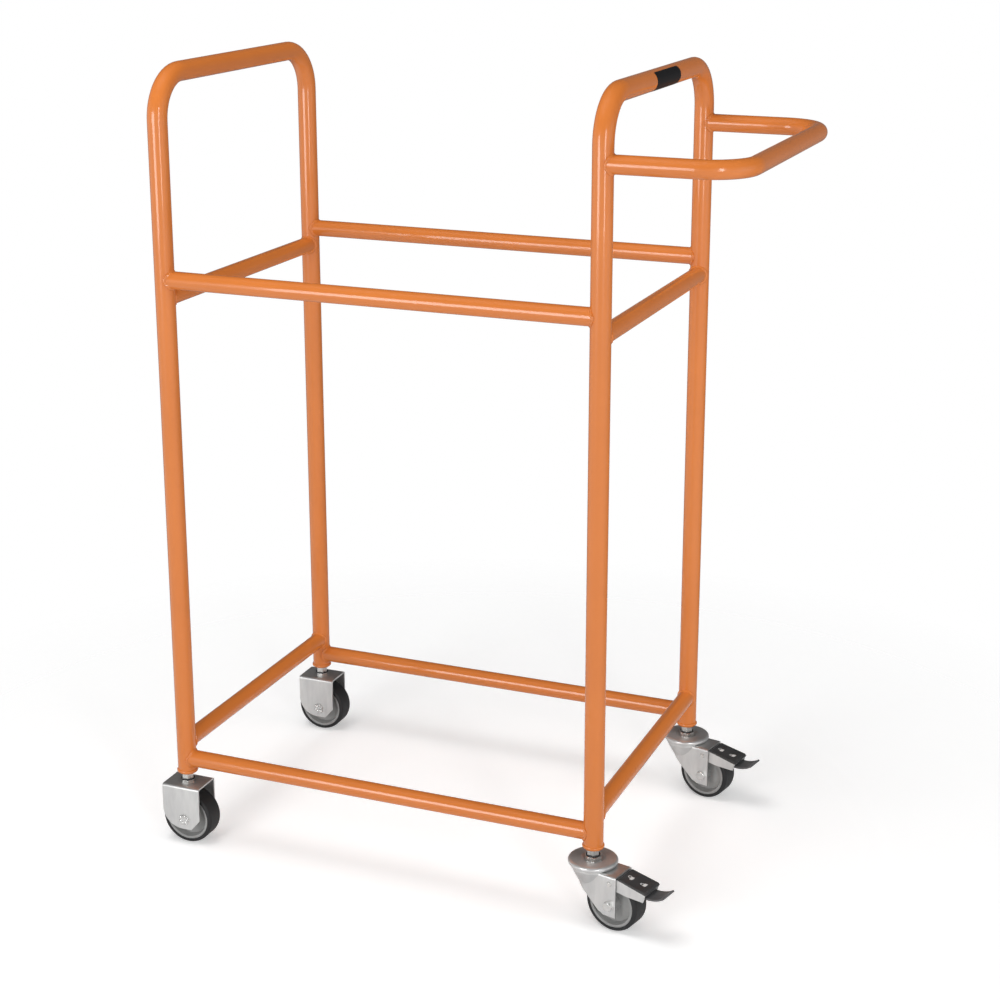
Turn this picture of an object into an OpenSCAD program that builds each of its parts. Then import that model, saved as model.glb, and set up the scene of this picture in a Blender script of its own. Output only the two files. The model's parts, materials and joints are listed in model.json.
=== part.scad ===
// Tyre trolley: two bent tube end hoops joined by four long rails and four cross rails,
// with a push handle, two fixed casters on the left and two braked swivel casters on the right.
// Millimetres. The origin is on the floor under the middle of the trolley.
// X runs from the fixed casters to the push handle, Y runs from the front to the rear, Z is up.

/* [Frame] */
// Distance between the left and right leg axes
leg_span_x = 640; // [500:900]
// Distance between the front and rear leg axes
leg_span_y = 440; // [340:600]
// Distance from the leg's lower end up to the lower long rails' axis
lower_rail_up = 23; // [21:60]
// Distance from the lower long rails up to the upper long rails
tier_gap = 722; // [500:900]
// Height of the end hoops' top bar axis above the upper long rails
hoop_rise = 280; // [200:360]
// Bend radius of the end hoops, at the tube's axis
hoop_bend_r = 62; // [50:90]
// Space left between a long rail and a cross rail at the same leg
rail_step_gap = 1; // [0.5:6]

/* [Tubes] */
// Outside diameter of the hoop tube
hoop_d = 28; // [25:34]
// Outside diameter of the rail and handle tube
rail_d = 25; // [20:27]
// Wall thickness of the tubes
tube_wall = 1.8; // [1.2:2.5]
// Width of a weld bead, measured out from each tube
weld_w = 2.6; // [1.5:4]

/* [Push handle] */
// Distance from the right leg axes to the handle bar's axis
handle_length = 180; // [120:260]
// Height of the handle above the upper long rails
handle_rise = 196; // [120:210]
// Bend radius of the handle, at the tube's axis
handle_bend_r = 58; // [45:80]

/* [Leg ends] */
// Height of the leg's lower end above the top of the wheels
leg_end_up = 28; // [26:40]
// Length of the bush inside the tube
bush_in = 26; // [15:40]
// Radius of the weld that joins the bush to the tube
bush_weld_r = 3.2; // [2.4:3.6]
// Distance that the weld stands out from the tube
bush_weld_out = 1.8; // [1:2.2]

/* [Caster stems] */
// Diameter of the caster's threaded stem
stem_d = 12; // [10:12]
// Width across flats of the hex on the stem
stem_hex_af = 16; // [14:18]
// Height of the hex on the stem
stem_hex_h = 9.5; // [7:11]
// Outside diameter of the lock washer
lock_washer_d = 20; // [18:24]
// Thickness of the lock washer
lock_washer_t = 1.5; // [1:2]
// Width across flats of the nut on a swivel caster's stem
stem_nut_af = 21; // [19:24]
// Width across flats of the nut on a fixed caster's stem
fixed_nut_af = 17; // [16:22]

/* [Wheels] */
// Outside diameter of the wheel
wheel_d = 80; // [75:90]
// Width of the tyre's tread
tyre_w = 32; // [26:32.4]
// Thickness of the tyre over the hub
tyre_t = 5.5; // [3:7]
// Radius of the tyre's rounded shoulders
tyre_shoulder_r = 4.5; // [2:5]
// Width of the hub at its rim
hub_rim_w = 29; // [22:30]
// Depth of the dish in each side of the hub
hub_dish = 9; // [4:10]
// Diameter of the hub's boss
hub_boss_d = 20; // [16:24]
// Diameter of the wheel's plain bushes
wheel_bush_d = 13; // [11:14]
// Diameter of the wheel's axle
axle_d = 8; // [6:9]
// Radial running clearance between an axle and the bushes on it
run_clear = 0.06; // [0.02:0.1]
// Side gap between the wheel and the fork
wheel_side_gap = 0.6; // [0.4:1.5]

/* [Fixed casters] */
// Length of the fixed fork's top plate
fixed_plate_l = 61; // [54:66]
// Outside width of the fixed fork
fixed_fork_w = 48; // [40:52]
// Height of the fixed fork's top plate above the top of the wheels
fixed_plate_up = 13; // [8:14]
// Distance that the fixed wheel's axle sits to the right of the leg
fixed_axle_x = 4.5; // [0:6]
// Distance from the fixed axle down to the fork's lower edge
fixed_fork_drop = 15; // [12:18]
// Thickness of the fork sheet
fork_t = 2.5; // [2:3]
// Outside radius of the folds in a fork
fork_fold_r = 4; // [3:6]
// Diameter of the staked heads on the fixed axle
axle_head_d = 16; // [12:18]
// Thickness of an axle's head
axle_head_h = 2; // [1.5:4]

/* [Swivel casters] */
// Distance that the wheel trails behind the swivel axis
trail = 39; // [36:42]
// Outside width of the swivel fork
swivel_fork_w = 43; // [42.4:46]
// Height of the swivel fork's top plate above the top of the wheels
swivel_plate_up = 5; // [4.5:7]
// Diameter of the swivel head
head_d = 70; // [64:74]
// Height of the swivel head's rolled rim
head_rim_h = 8; // [7:9]
// Depth of the dish round the stem nut in the swivel head
head_dish = 2.4; // [1:2.8]
// Diameter of the swivel bearing's balls
ball_d = 4; // [3:4.2]
// Number of balls in the swivel bearing
ball_count = 16; // [10:20]
// Gap between the turning fork and the swivel head
swivel_gap = 0.4; // [0.3:1]
// Angle that the front swivel caster is turned by, as it stands
front_turn = 13; // [0:60]
// Angle that the rear swivel caster is turned by, as it stands
rear_turn = 12; // [0:60]

/* [Brakes] */
// Angle that the brake pedal travels
brake_travel = 5.5; // [4:6]
// Distance from the top of the wheels down to the brake pivot
brake_pivot_down = 7; // [5:9]
// Length of the brake lever behind the wheel's axle
lever_l = 56; // [54:62]
// Thickness of the brake lever's sheet
lever_t = 1.5; // [1.2:2]
// Side gap between the brake lever and the fork
lever_side_gap = 0.5; // [0.4:1]
// Diameter of the brake's pivot rivets
pivot_d = 5; // [4:6]
// Gap left between the pressed brake shoe and the tyre
shoe_gap = 0.4; // [0.3:1]
// Width of the brake shoe
shoe_w = 22; // [16:26]
// Height of the pedal cover above the lever
cover_h = 4.2; // [3.6:7]
// Height of the pedal cover above the lever at the fork
cover_lead_h = 2.2; // [2:3]
// Depth of the two toe rests in the pedal cover
toe_rest = 1.2; // [0.6:1.4]
// Radius of the toe rests' hollow
toe_rest_r = 39; // [32:44]
// Distance from the pedal cover's front to the first toe rest's middle
toe_rest_in = 12; // [10:13]
// Distance between the middles of the two toe rests
toe_rest_step = 20; // [18:21]
// Width left plain on each side of a toe rest
toe_rest_edge = 1.5; // [1:3]
// Width of the release tongue
tongue_w = 29; // [20:31]
// Thickness of the release tongue
tongue_t = 2.6; // [2:4]

/* [Hidden] */
$fn = 48;
wheel_r = wheel_d / 2;
leg_end_z = wheel_d + leg_end_up;
lower_rail_z = leg_end_z + lower_rail_up;
fixed_plate_z = wheel_d + fixed_plate_up;
swivel_plate_z = wheel_d + swivel_plate_up;
brake_pivot_z = wheel_d - brake_pivot_down;
hoop_r = hoop_d / 2;
rail_r = rail_d / 2;
bore_r = hoop_r - tube_wall;
rail_step = rail_d + rail_step_gap;
mid_x = (leg_span_x + handle_length + rail_r + fixed_axle_x - wheel_r) / 2;
left_x = -mid_x;
right_x = leg_span_x - mid_x;
front_y = -leg_span_y / 2;
rear_y = leg_span_y / 2;
upper_rail_z = lower_rail_z + tier_gap;
lower_cross_z = lower_rail_z + rail_step;
upper_cross_z = upper_rail_z - rail_step;
hoop_top_z = upper_rail_z + hoop_rise;
handle_z = upper_rail_z + handle_rise;
bush_show = lower_rail_z - rail_r - weld_w - 1 - bush_weld_r - leg_end_z;
bush_edge = 1;
tube_end_z = leg_end_z + bush_show;
stem_r = stem_d / 2;
axle_r = axle_d / 2;
hub_r = wheel_r - tyre_t;
bush_r = wheel_bush_d / 2;
fixed_in = fixed_fork_w / 2 - fork_t;
swivel_in = swivel_fork_w / 2 - fork_t;
fixed_boss = fixed_in - wheel_side_gap;
swivel_boss = swivel_in - wheel_side_gap;
head_z = swivel_plate_z + swivel_gap;
head_top_z = head_z + head_rim_h - head_dish;
head_rim_r = head_rim_h / 2;
head_core_r = head_d / 2 - head_rim_r;
ball_ring_r = head_d / 2 - 9;
lever_out = swivel_in - lever_side_gap;
lever_in = lever_out - lever_t;
pivot_x = trail + 0.5;
fork_rear_x = trail + 10.5;
seat_h = 22;
seat_low_z = swivel_plate_z - seat_h;
seat_cut_x = 4;
seat_end_x = 22;
lever_end_x = trail + lever_l;
tongue_r = 44;
tongue_x = lever_end_x + 0.5;
tongue_z = wheel_d - 15;
tongue_sweep = 35;
lever_high = wheel_d + 1.3;
lever_low = wheel_d - 9.2;
lever_under = wheel_d - 19;

// Colours of the sub-parts
paint = [0.86, 0.42, 0.16];
zinc = [0.76, 0.76, 0.74];
bright = [0.85, 0.85, 0.84];
dark = [0.18, 0.18, 0.19];
grey = [0.62, 0.62, 0.60];

// A quarter bend in the XZ plane, from the end of a vertical tube at the origin towards +X
module quarter_bend(bend_r, r)
    translate([bend_r, 0, 0]) rotate([90, 0, 0]) rotate([0, 0, 90])
        rotate_extrude(angle = 90) translate([bend_r, 0]) circle(r = r);

// A U of round bar in the XZ plane: legs up from z = 0, bends, and a bar across the top
module u_bar(span, rise, bend_r, r) {
    for (s = [0, 1]) translate([s * span, 0, 0]) mirror([s, 0, 0]) {
        cylinder(h = rise - bend_r, r = r);
        translate([0, 0, rise - bend_r]) quarter_bend(bend_r, r);
    }
    translate([bend_r, 0, rise]) rotate([0, 90, 0]) cylinder(h = span - 2 * bend_r, r = r);
}

// A bent tube with an open bore at both ends
module u_tube(span, rise, bend_r, r) difference() {
    u_bar(span, rise, bend_r, r);
    u_bar(span, rise, bend_r, r - tube_wall);
    for (s = [0, 1]) translate([s * span, 0, -1]) cylinder(h = 2, r = r - tube_wall);
}

// An end hoop: one bent tube that makes both legs and the top bar
module end_hoop(x)
    translate([x, front_y, tube_end_z]) rotate([0, 0, 90])
        u_tube(leg_span_y, hoop_top_z - tube_end_z, hoop_bend_r, hoop_r);

module left_end_hoop() color(paint) end_hoop(left_x);
module right_end_hoop() color(paint) end_hoop(right_x);

// A straight tube along X from the origin, with both ends cut to fit round an upright tube
module coped_rail(len) difference() {
    rotate([0, 90, 0]) cylinder(h = len, r = rail_r);
    translate([-1, 0, 0]) rotate([0, 90, 0]) cylinder(h = len + 2, r = rail_r - tube_wall);
    for (x = [0, len]) translate([x, 0, -rail_d]) cylinder(h = 2 * rail_d, r = hoop_r);
}

module long_rail(y, z) translate([left_x, y, z]) coped_rail(leg_span_x);
module cross_rail(x, z) translate([x, front_y, z]) rotate([0, 0, 90]) coped_rail(leg_span_y);

module upper_front_rail() color(paint) long_rail(front_y, upper_rail_z);
module upper_rear_rail() color(paint) long_rail(rear_y, upper_rail_z);
module lower_front_rail() color(paint) long_rail(front_y, lower_rail_z);
module lower_rear_rail() color(paint) long_rail(rear_y, lower_rail_z);
module upper_left_cross_rail() color(paint) cross_rail(left_x, upper_cross_z);
module upper_right_cross_rail() color(paint) cross_rail(right_x, upper_cross_z);
module lower_left_cross_rail() color(paint) cross_rail(left_x, lower_cross_z);
module lower_right_cross_rail() color(paint) cross_rail(right_x, lower_cross_z);

// The push handle: a bent tube whose arms are cut to fit round the right hoop's legs
module push_handle() color(paint) difference() {
    translate([right_x, front_y, handle_z]) rotate([0, 90, 0]) rotate([0, 0, 90])
        u_tube(leg_span_y, handle_length, handle_bend_r, rail_r);
    for (y = [front_y, rear_y])
        translate([right_x, y, handle_z - rail_d]) cylinder(h = 2 * rail_d, r = hoop_r);
}

// One weld bead where a tube along +X from the origin meets an upright tube at the origin
module weld_bead() difference() {
    intersection() {
        translate([0, 0, -rail_d]) cylinder(h = 2 * rail_d, r = hoop_r + weld_w);
        rotate([0, 90, 0]) cylinder(h = 2 * hoop_r, r = rail_r + weld_w);
    }
    translate([0, 0, -2 * rail_d]) cylinder(h = 4 * rail_d, r = hoop_r);
    translate([-1, 0, 0]) rotate([0, 90, 0]) cylinder(h = 3 * hoop_r, r = rail_r);
}

// The beads at both ends of every rail
module rail_weld_beads() color(paint) {
    for (y = [front_y, rear_y], z = [lower_rail_z, upper_rail_z]) {
        translate([left_x, y, z]) weld_bead();
        translate([right_x, y, z]) rotate([0, 0, 180]) weld_bead();
    }
    for (x = [left_x, right_x], z = [lower_cross_z, upper_cross_z]) {
        translate([x, front_y, z]) rotate([0, 0, 90]) weld_bead();
        translate([x, rear_y, z]) rotate([0, 0, -90]) weld_bead();
    }
}

module handle_weld_beads() color(paint)
    for (y = [front_y, rear_y]) translate([right_x, y, handle_z]) weld_bead();

// Puts a child at every leg, or at the legs of one end
module at_legs(xs = [left_x, right_x])
    for (x = xs, y = [front_y, rear_y]) translate([x, y, 0]) children();

// Threaded bushes that close the legs and take the caster stems
module leg_end_bushes() color(paint) at_legs() difference() {
    union() {
        translate([0, 0, tube_end_z]) cylinder(h = bush_in, r = bore_r - 0.05);
        translate([0, 0, leg_end_z + bush_edge]) cylinder(h = bush_show - bush_edge, r = hoop_r);
        translate([0, 0, leg_end_z]) cylinder(h = bush_edge, r1 = hoop_r - 1.2, r2 = hoop_r);
    }
    translate([0, 0, leg_end_z - 1]) cylinder(h = bush_show + bush_in + 2, r = stem_r + 0.05);
}

module leg_weld_beads() color(paint) at_legs() difference() {
    translate([0, 0, tube_end_z])
        rotate_extrude() translate([hoop_r + bush_weld_out - bush_weld_r, 0]) circle(r = bush_weld_r);
    translate([0, 0, leg_end_z]) cylinder(h = 3 * bush_show, r = hoop_r);
}

// A hexagonal bar standing on z = 0
module hex(af, h) cylinder(h = h, d = af / cos(30), $fn = 6);

// A hexagonal bar with its top corners turned off
module hex_nut(af, h) intersection() {
    hex(af, h);
    union() {
        cylinder(h = h - 1.5, d = af / cos(30) + 1);
        translate([0, 0, h - 1.5]) cylinder(h = 1.5, d1 = af / cos(30) + 0.4, d2 = af - 1);
    }
}

// Top of the stack of washer and nut that sits under the stem's hex
stem_hex_z = leg_end_z - stem_hex_h;
washer_z = stem_hex_z - lock_washer_t;

// The stem of a caster: a threaded pin in the bush, with a hex below the leg
module stem(low_z) {
    translate([0, 0, low_z]) cylinder(h = leg_end_z + bush_show + bush_in - 4 - low_z, r = stem_r);
    translate([0, 0, stem_hex_z]) hex(stem_hex_af, stem_hex_h);
}

// A nut that fills the space from a plate up to the lock washer
module stack_nut(low_z, af) difference() {
    translate([0, 0, low_z]) hex_nut(af, washer_z - low_z);
    translate([0, 0, low_z - 1]) cylinder(h = 20, r = stem_r + 0.05);
}

module stem_nuts() color(zinc) {
    at_legs([left_x]) stack_nut(fixed_plate_z, fixed_nut_af);
    at_legs([right_x]) stack_nut(head_top_z, stem_nut_af);
}

module stem_lock_washers() color(dark) at_legs() translate([0, 0, washer_z]) difference() {
    cylinder(h = lock_washer_t, d = lock_washer_d);
    translate([0, 0, -1]) cylinder(h = lock_washer_t + 2, r = stem_r + 0.05);
}

// Stem and rivet head that hold a fixed fork's top plate
module fixed_caster_stems() color(bright) at_legs([left_x]) {
    stem(fixed_plate_z - fork_t - 3);
    translate([0, 0, fixed_plate_z - fork_t - 3]) cylinder(h = 3, r = stem_r + 4);
}

// Places of the casters
module at_front_left() translate([left_x, front_y, 0]) children();
module at_rear_left() translate([left_x, rear_y, 0]) children();
module at_front_right() translate([right_x, front_y, 0]) rotate([0, 0, -front_turn]) children();
module at_rear_right() translate([right_x, rear_y, 0]) rotate([0, 0, -rear_turn]) children();

// Lays a flat shape, drawn with X along and Y up, into the XZ plane with a thickness along Y
module upright(w) translate([0, w / 2, 0]) rotate([90, 0, 0]) linear_extrude(w) children();

// The folded sheet of a fork, seen along X: a flat top with two folded sides
module fold_section(w, top) translate([0, top]) difference() {
    union() {
        translate([-w / 2, -top]) square([w, top - fork_fold_r]);
        translate([-w / 2 + fork_fold_r, -top]) square([w - 2 * fork_fold_r, top]);
        for (s = [-1, 1]) translate([s * (w / 2 - fork_fold_r), -fork_fold_r]) circle(r = fork_fold_r);
    }
    translate([-w / 2 + fork_t, -top - 1]) square([w - 2 * fork_t, top + 1 - fork_t]);
}

// A folded sheet channel along X, open at the bottom
module folded_channel(w, top, x0, x1)
    translate([x0, 0, 0]) rotate([90, 0, 90]) linear_extrude(x1 - x0) fold_section(w, top);

// Outline of the fixed fork's side plates: square above, rounded at the left, cut off at the right
module fixed_side_outline() {
    half = fixed_plate_l / 2;
    low = wheel_r - fixed_fork_drop;
    difference() {
        polygon([[-half, fixed_plate_z + 1], [half, fixed_plate_z + 1], [half, low + 16.5],
            [half - 14.5, low], [-half, low]]);
        difference() {
            translate([-half - 1, low - 1]) square(half + 1);
            translate([0, low + half]) circle(r = half, $fn = 96);
        }
    }
}

module fixed_fork() difference() {
    intersection() {
        folded_channel(fixed_fork_w, fixed_plate_z, -fixed_plate_l / 2, fixed_plate_l / 2);
        upright(fixed_fork_w + 2) fixed_side_outline();
    }
    translate([fixed_axle_x, 0, wheel_r]) rotate([90, 0, 0])
        cylinder(h = fixed_fork_w + 2, r = axle_r + 0.02, center = true);
    cylinder(h = fixed_plate_z + 2, r = stem_r + 0.05);
}

module front_left_fork() color(bright) at_front_left() fixed_fork();
module rear_left_fork() color(bright) at_rear_left() fixed_fork();

// Axle of a fixed caster, staked over at both ends
module fixed_axle() translate([fixed_axle_x, 0, wheel_r]) rotate([90, 0, 0]) {
    cylinder(h = fixed_fork_w, r = axle_r, center = true);
    for (s = [0, 1]) mirror([0, 0, s]) translate([0, 0, fixed_fork_w / 2])
        cylinder(h = axle_head_h, d1 = axle_head_d, d2 = axle_head_d - 3);
}

module front_left_axle() color(bright) at_front_left() fixed_axle();
module rear_left_axle() color(bright) at_rear_left() fixed_axle();

// The wheel's hub: a dished plastic centre with a rim and a boss, about the Y axis
module hub(boss) rotate([90, 0, 0]) difference() {
    union() {
        cylinder(h = hub_rim_w, r = hub_r, center = true);
        cylinder(h = 2 * boss, d = hub_boss_d, center = true);
    }
    for (s = [0, 1]) mirror([0, 0, s]) translate([0, 0, hub_rim_w / 2 - hub_dish]) difference() {
        cylinder(h = hub_dish + 1, r1 = hub_r - 6, r2 = hub_r - 3.4);
        translate([0, 0, -1]) cylinder(h = hub_dish + 3, d = hub_boss_d);
    }
    cylinder(h = 2 * boss + 2, r = bush_r, center = true);
}

// The tyre: a ring bonded to the hub, with rounded shoulders
module tyre() rotate([90, 0, 0]) difference() {
    union() {
        cylinder(h = tyre_w - 2 * tyre_shoulder_r, r = wheel_r, center = true);
        cylinder(h = tyre_w, r = wheel_r - tyre_shoulder_r, center = true);
        for (s = [-1, 1]) translate([0, 0, s * (tyre_w / 2 - tyre_shoulder_r)])
            rotate_extrude() translate([wheel_r - tyre_shoulder_r, 0]) circle(r = tyre_shoulder_r);
    }
    cylinder(h = tyre_w + 2, r = hub_r, center = true);
}

// Two plain bushes pressed into the hub, one from each side
module wheel_bushes(boss) rotate([90, 0, 0])
    for (s = [0, 1]) mirror([0, 0, s]) translate([0, 0, boss - 10]) difference() {
        cylinder(h = 10, r = bush_r);
        translate([0, 0, -1]) cylinder(h = 12, r = axle_r + run_clear);
    }

module at_fixed_wheel() translate([fixed_axle_x, 0, wheel_r]) children();
module at_swivel_wheel() translate([trail, 0, wheel_r]) children();

module front_left_hub() color(grey) at_front_left() at_fixed_wheel() hub(fixed_boss);
module rear_left_hub() color(grey) at_rear_left() at_fixed_wheel() hub(fixed_boss);
module front_right_hub() color(grey) at_front_right() at_swivel_wheel() hub(swivel_boss);
module rear_right_hub() color(grey) at_rear_right() at_swivel_wheel() hub(swivel_boss);
module front_left_tyre() color(dark) at_front_left() at_fixed_wheel() tyre();
module rear_left_tyre() color(dark) at_rear_left() at_fixed_wheel() tyre();
module front_right_tyre() color(dark) at_front_right() at_swivel_wheel() tyre();
module rear_right_tyre() color(dark) at_rear_right() at_swivel_wheel() tyre();
module front_left_wheel_bushes() color(zinc) at_front_left() at_fixed_wheel() wheel_bushes(fixed_boss);
module rear_left_wheel_bushes() color(zinc) at_rear_left() at_fixed_wheel() wheel_bushes(fixed_boss);
module front_right_wheel_bushes() color(zinc)
    at_front_right() at_swivel_wheel() wheel_bushes(swivel_boss);
module rear_right_wheel_bushes() color(zinc)
    at_rear_right() at_swivel_wheel() wheel_bushes(swivel_boss);

// Stem of a swivel caster: it runs on down as the kingpin that the fork turns about
module kingpin_stem() {
    stem(swivel_plate_z - fork_t - swivel_gap - 3);
    translate([0, 0, swivel_plate_z - fork_t - swivel_gap - 3]) cylinder(h = 3, r = stem_r + 5);
}

module front_right_kingpin_stem() color(bright) at_front_right() kingpin_stem();
module rear_right_kingpin_stem() color(bright) at_rear_right() kingpin_stem();

// Pressed steel swivel head with a rolled rim and a dish for the nut, hollow below for the balls
module swivel_head() difference() {
    union() {
        translate([0, 0, head_z]) cylinder(h = head_rim_h, r = head_core_r);
        translate([0, 0, head_z + head_rim_r])
            rotate_extrude() translate([head_core_r, 0]) circle(r = head_rim_r);
    }
    translate([0, 0, head_top_z])
        cylinder(h = head_dish + 0.1, r1 = stem_nut_af / 2 + 2.6, r2 = stem_nut_af / 2 + 7);
    translate([0, 0, head_z - 1]) difference() {
        cylinder(h = ball_d + 1.4, r = head_core_r - 2);
        cylinder(h = ball_d + 1.4, r = stem_r + 7);
    }
    translate([0, 0, head_z - 1]) cylinder(h = 2 * head_rim_h, r = stem_r + 0.05);
}

module front_right_swivel_head() color(zinc) at_front_right() swivel_head();
module rear_right_swivel_head() color(zinc) at_rear_right() swivel_head();

// The swivel bearing's ring of balls, inside the swivel head
module bearing_balls() for (i = [0 : ball_count - 1]) rotate([0, 0, i * 360 / ball_count])
    translate([ball_ring_r, 0, head_z + ball_d / 2]) sphere(d = ball_d, $fn = 20);

module front_right_bearing_balls() color(bright) at_front_right() bearing_balls();
module rear_right_bearing_balls() color(bright) at_rear_right() bearing_balls();

// Outline of the swivel fork's side plates: sloped front edge, upright rear edge
module swivel_side_outline() polygon([[-head_d / 2, swivel_plate_z + 1],
    [fork_rear_x, swivel_plate_z + 1], [fork_rear_x, wheel_r - 16], [trail - 8, wheel_r - 15.5],
    [trail - 17, wheel_r - 11], [trail - 28, wheel_r], [-7, wheel_r + 18],
    [-20, swivel_plate_z - 12], [-head_d / 2, swivel_plate_z - 2]]);

// The fork's pressed front: a hollow cone that flares from the side plates out to the swivel head
module fork_seat() intersection() {
    difference() {
        union() {
            translate([0, 0, swivel_plate_z - 3]) cylinder(h = 3, r = head_core_r);
            translate([0, 0, seat_low_z])
                cylinder(h = seat_h - 3, r1 = swivel_fork_w / 2, r2 = head_core_r);
            translate([0, 0, seat_low_z - 12]) cylinder(h = 12, r = swivel_fork_w / 2);
        }
        translate([0, 0, seat_low_z])
            cylinder(h = seat_h - fork_t, r1 = swivel_fork_w / 2 - fork_t, r2 = head_core_r - fork_t);
        translate([0, 0, seat_low_z - 13]) cylinder(h = 13, r = swivel_fork_w / 2 - fork_t);
    }
    union() {
        translate([-head_d, -head_d, 0]) cube([head_d + seat_cut_x, 2 * head_d, swivel_plate_z]);
        for (s = [0, 1]) mirror([0, s, 0])
            translate([0, swivel_in, 0]) cube([seat_end_x, head_d, swivel_plate_z]);
    }
    upright(head_d) swivel_side_outline();
}

module swivel_fork() difference() {
    union() {
        intersection() {
            folded_channel(swivel_fork_w, swivel_plate_z, -2, fork_rear_x);
            upright(swivel_fork_w + 2) swivel_side_outline();
        }
        translate([0, 0, swivel_plate_z - fork_t]) cylinder(h = fork_t, r = head_core_r);
        fork_seat();
    }
    translate([trail, 0, wheel_r]) rotate([90, 0, 0])
        cylinder(h = swivel_fork_w + 2, r = axle_r + 0.02, center = true);
    translate([pivot_x, 0, brake_pivot_z]) rotate([90, 0, 0])
        cylinder(h = swivel_fork_w + 2, d = pivot_d + 0.04, center = true);
    cylinder(h = swivel_plate_z + 2, r = stem_r + run_clear);
}

module front_right_fork() color(bright) at_front_right() swivel_fork();
module rear_right_fork() color(bright) at_rear_right() swivel_fork();

// Axle bolt of a swivel caster, with its hex head on the front side and a nut at the rear
module axle_bolt() translate([trail, 0, wheel_r]) rotate([90, 0, 0]) {
    translate([0, 0, -swivel_fork_w / 2 - 8]) cylinder(h = swivel_fork_w + 8, r = axle_r);
    translate([0, 0, swivel_fork_w / 2]) hex_nut(13, 4.5);
}

module axle_nut() translate([trail, swivel_fork_w / 2, wheel_r]) rotate([-90, 0, 0]) difference() {
    hex_nut(13, 6.5);
    translate([0, 0, -1]) cylinder(h = 10, r = axle_r + 0.05);
}

module front_right_axle_bolt() color(bright) at_front_right() axle_bolt();
module rear_right_axle_bolt() color(bright) at_rear_right() axle_bolt();
module front_right_axle_nut() color(zinc) at_front_right() axle_nut();
module rear_right_axle_nut() color(zinc) at_rear_right() axle_nut();

// Height of the lever's top edge at a distance along the caster
function lever_top(x) = lever_high
    - (x - fork_rear_x) * (lever_high - lever_low) / (lever_end_x - fork_rear_x);

// The brake lever: two side plates beside the tyre, joined by a sloping web
module brake_lever() difference() {
    intersection() {
        upright(2 * lever_out) polygon([[pivot_x - 6, brake_pivot_z - 4],
            [pivot_x - 6, brake_pivot_z + 2], [pivot_x - 2, lever_high],
            [fork_rear_x, lever_high], [lever_end_x, lever_low], [lever_end_x - 3.5, lever_under - 1],
            [trail + 24, lever_under], [trail + 6, lever_under + 3]]);
        union() {
            for (s = [0, 1]) mirror([0, s, 0])
                translate([0, lever_in, 0]) cube([2 * lever_end_x, lever_t, 2 * wheel_d]);
            upright(2 * lever_out) polygon([[fork_rear_x - 1, lever_top(fork_rear_x - 1) - lever_t],
                [lever_end_x + 1, lever_top(lever_end_x + 1) - lever_t],
                [lever_end_x + 1, lever_high + 1], [fork_rear_x - 1, lever_high + 1]]);
        }
    }
    translate([pivot_x, 0, brake_pivot_z]) rotate([90, 0, 0])
        cylinder(h = swivel_fork_w + 2, d = pivot_d + 2 * run_clear, center = true);
}

module front_right_brake_lever() color(bright) at_front_right() brake_lever();
module rear_right_brake_lever() color(bright) at_rear_right() brake_lever();

// Two short rivets that the lever turns on, one through each side of the fork
module brake_rivets() for (s = [0, 1]) mirror([0, s, 0])
    translate([pivot_x, -swivel_fork_w / 2 - 1.2, brake_pivot_z]) rotate([-90, 0, 0]) {
        cylinder(h = 1.2 + fork_t + lever_side_gap + lever_t, d = pivot_d);
        cylinder(h = 1.2, d1 = pivot_d + 1.4, d2 = pivot_d + 2.6);
    }

module front_right_brake_rivets() color(zinc) at_front_right() brake_rivets();
module rear_right_brake_rivets() color(zinc) at_rear_right() brake_rivets();

// The brake shoe: its underside follows the tyre when the pedal is fully down
module brake_shoe() difference() {
    upright(shoe_w) polygon([[trail + 21, lever_under], [trail + 35, lever_under - 6],
        [trail + 35, lever_top(trail + 35) - lever_t], [trail + 21, lever_top(trail + 21) - lever_t]]);
    translate([pivot_x, 0, brake_pivot_z]) rotate([0, -brake_travel, 0])
        translate([trail - pivot_x, 0, wheel_r - brake_pivot_z]) rotate([90, 0, 0])
            cylinder(h = shoe_w + 2, r = wheel_r + shoe_gap, center = true, $fn = 192);
}

module front_right_brake_shoe() color(dark) at_front_right() brake_shoe();
module rear_right_brake_shoe() color(dark) at_rear_right() brake_shoe();

// The moulded pedal cover on top of the lever, with two shallow toe rests
cover_x = fork_rear_x + 1.4;
function cover_top(x) = lever_top(x) + cover_lead_h
    + (cover_h - cover_lead_h) * (x - cover_x) / (lever_end_x - cover_x);
module pedal_cover() difference() {
    upright(2 * lever_out) polygon([[cover_x, lever_top(cover_x)], [lever_end_x, lever_low],
        [lever_end_x + 1.2, lever_low + 1.8], [lever_end_x - 1, cover_top(lever_end_x - 1)],
        [cover_x + 2, cover_top(cover_x + 2)], [cover_x, cover_top(cover_x) - 1.4]]);
    for (x = [cover_x + toe_rest_in, cover_x + toe_rest_in + toe_rest_step])
        translate([x, 0, cover_top(x) + toe_rest_r - toe_rest]) rotate([90, 0, 0])
            cylinder(h = 2 * (lever_out - toe_rest_edge), r = toe_rest_r, center = true, $fn = 96);
}

module front_right_pedal_cover() color(dark) at_front_right() pedal_cover();
module rear_right_pedal_cover() color(dark) at_rear_right() pedal_cover();

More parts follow.
